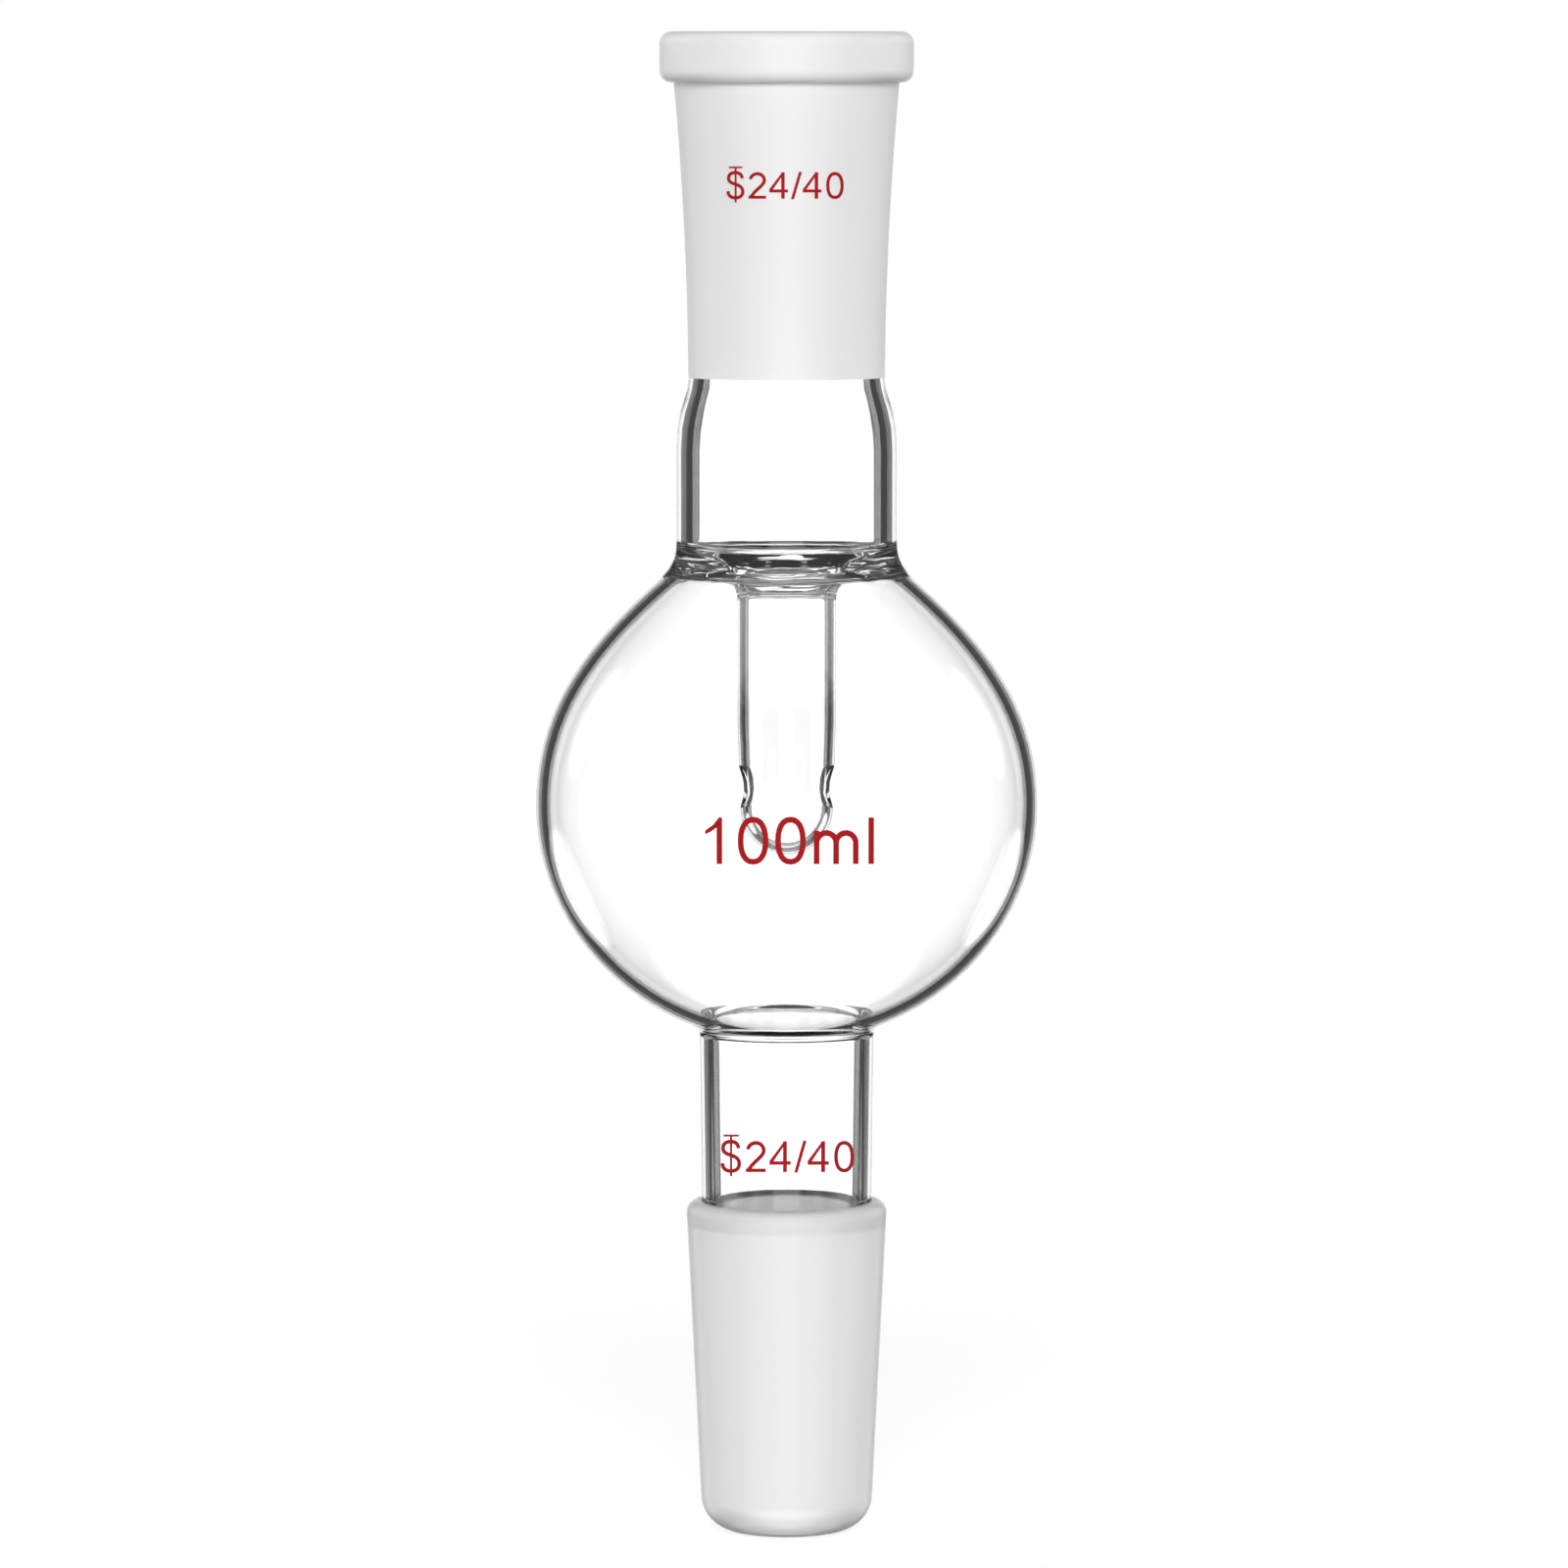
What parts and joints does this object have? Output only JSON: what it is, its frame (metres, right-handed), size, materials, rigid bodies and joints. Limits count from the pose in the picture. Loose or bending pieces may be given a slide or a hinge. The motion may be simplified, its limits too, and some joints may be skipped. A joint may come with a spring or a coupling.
{
  "type": "bump trap",
  "caption": "Blown glass bump trap: ground socket, neck, ring seal with a closed vapour tube inside a round bulb, lower tube and ground cone.",
  "frame": {"origin": "centre of the cone's end, on the axis of the glass, in the plane that the end stands on", "axes": "+Z along the axis, from the cone at the bottom up to the socket; the side holes of the vapour tube face along X"},
  "size_m": [0.0608, 0.0608, 0.1804],
  "materials": {
    "glass": "clear, with ground joint faces"
  },
  "bodies": {
    "root": {"bump_trap": "glass"}
  },
  "joints": []
}
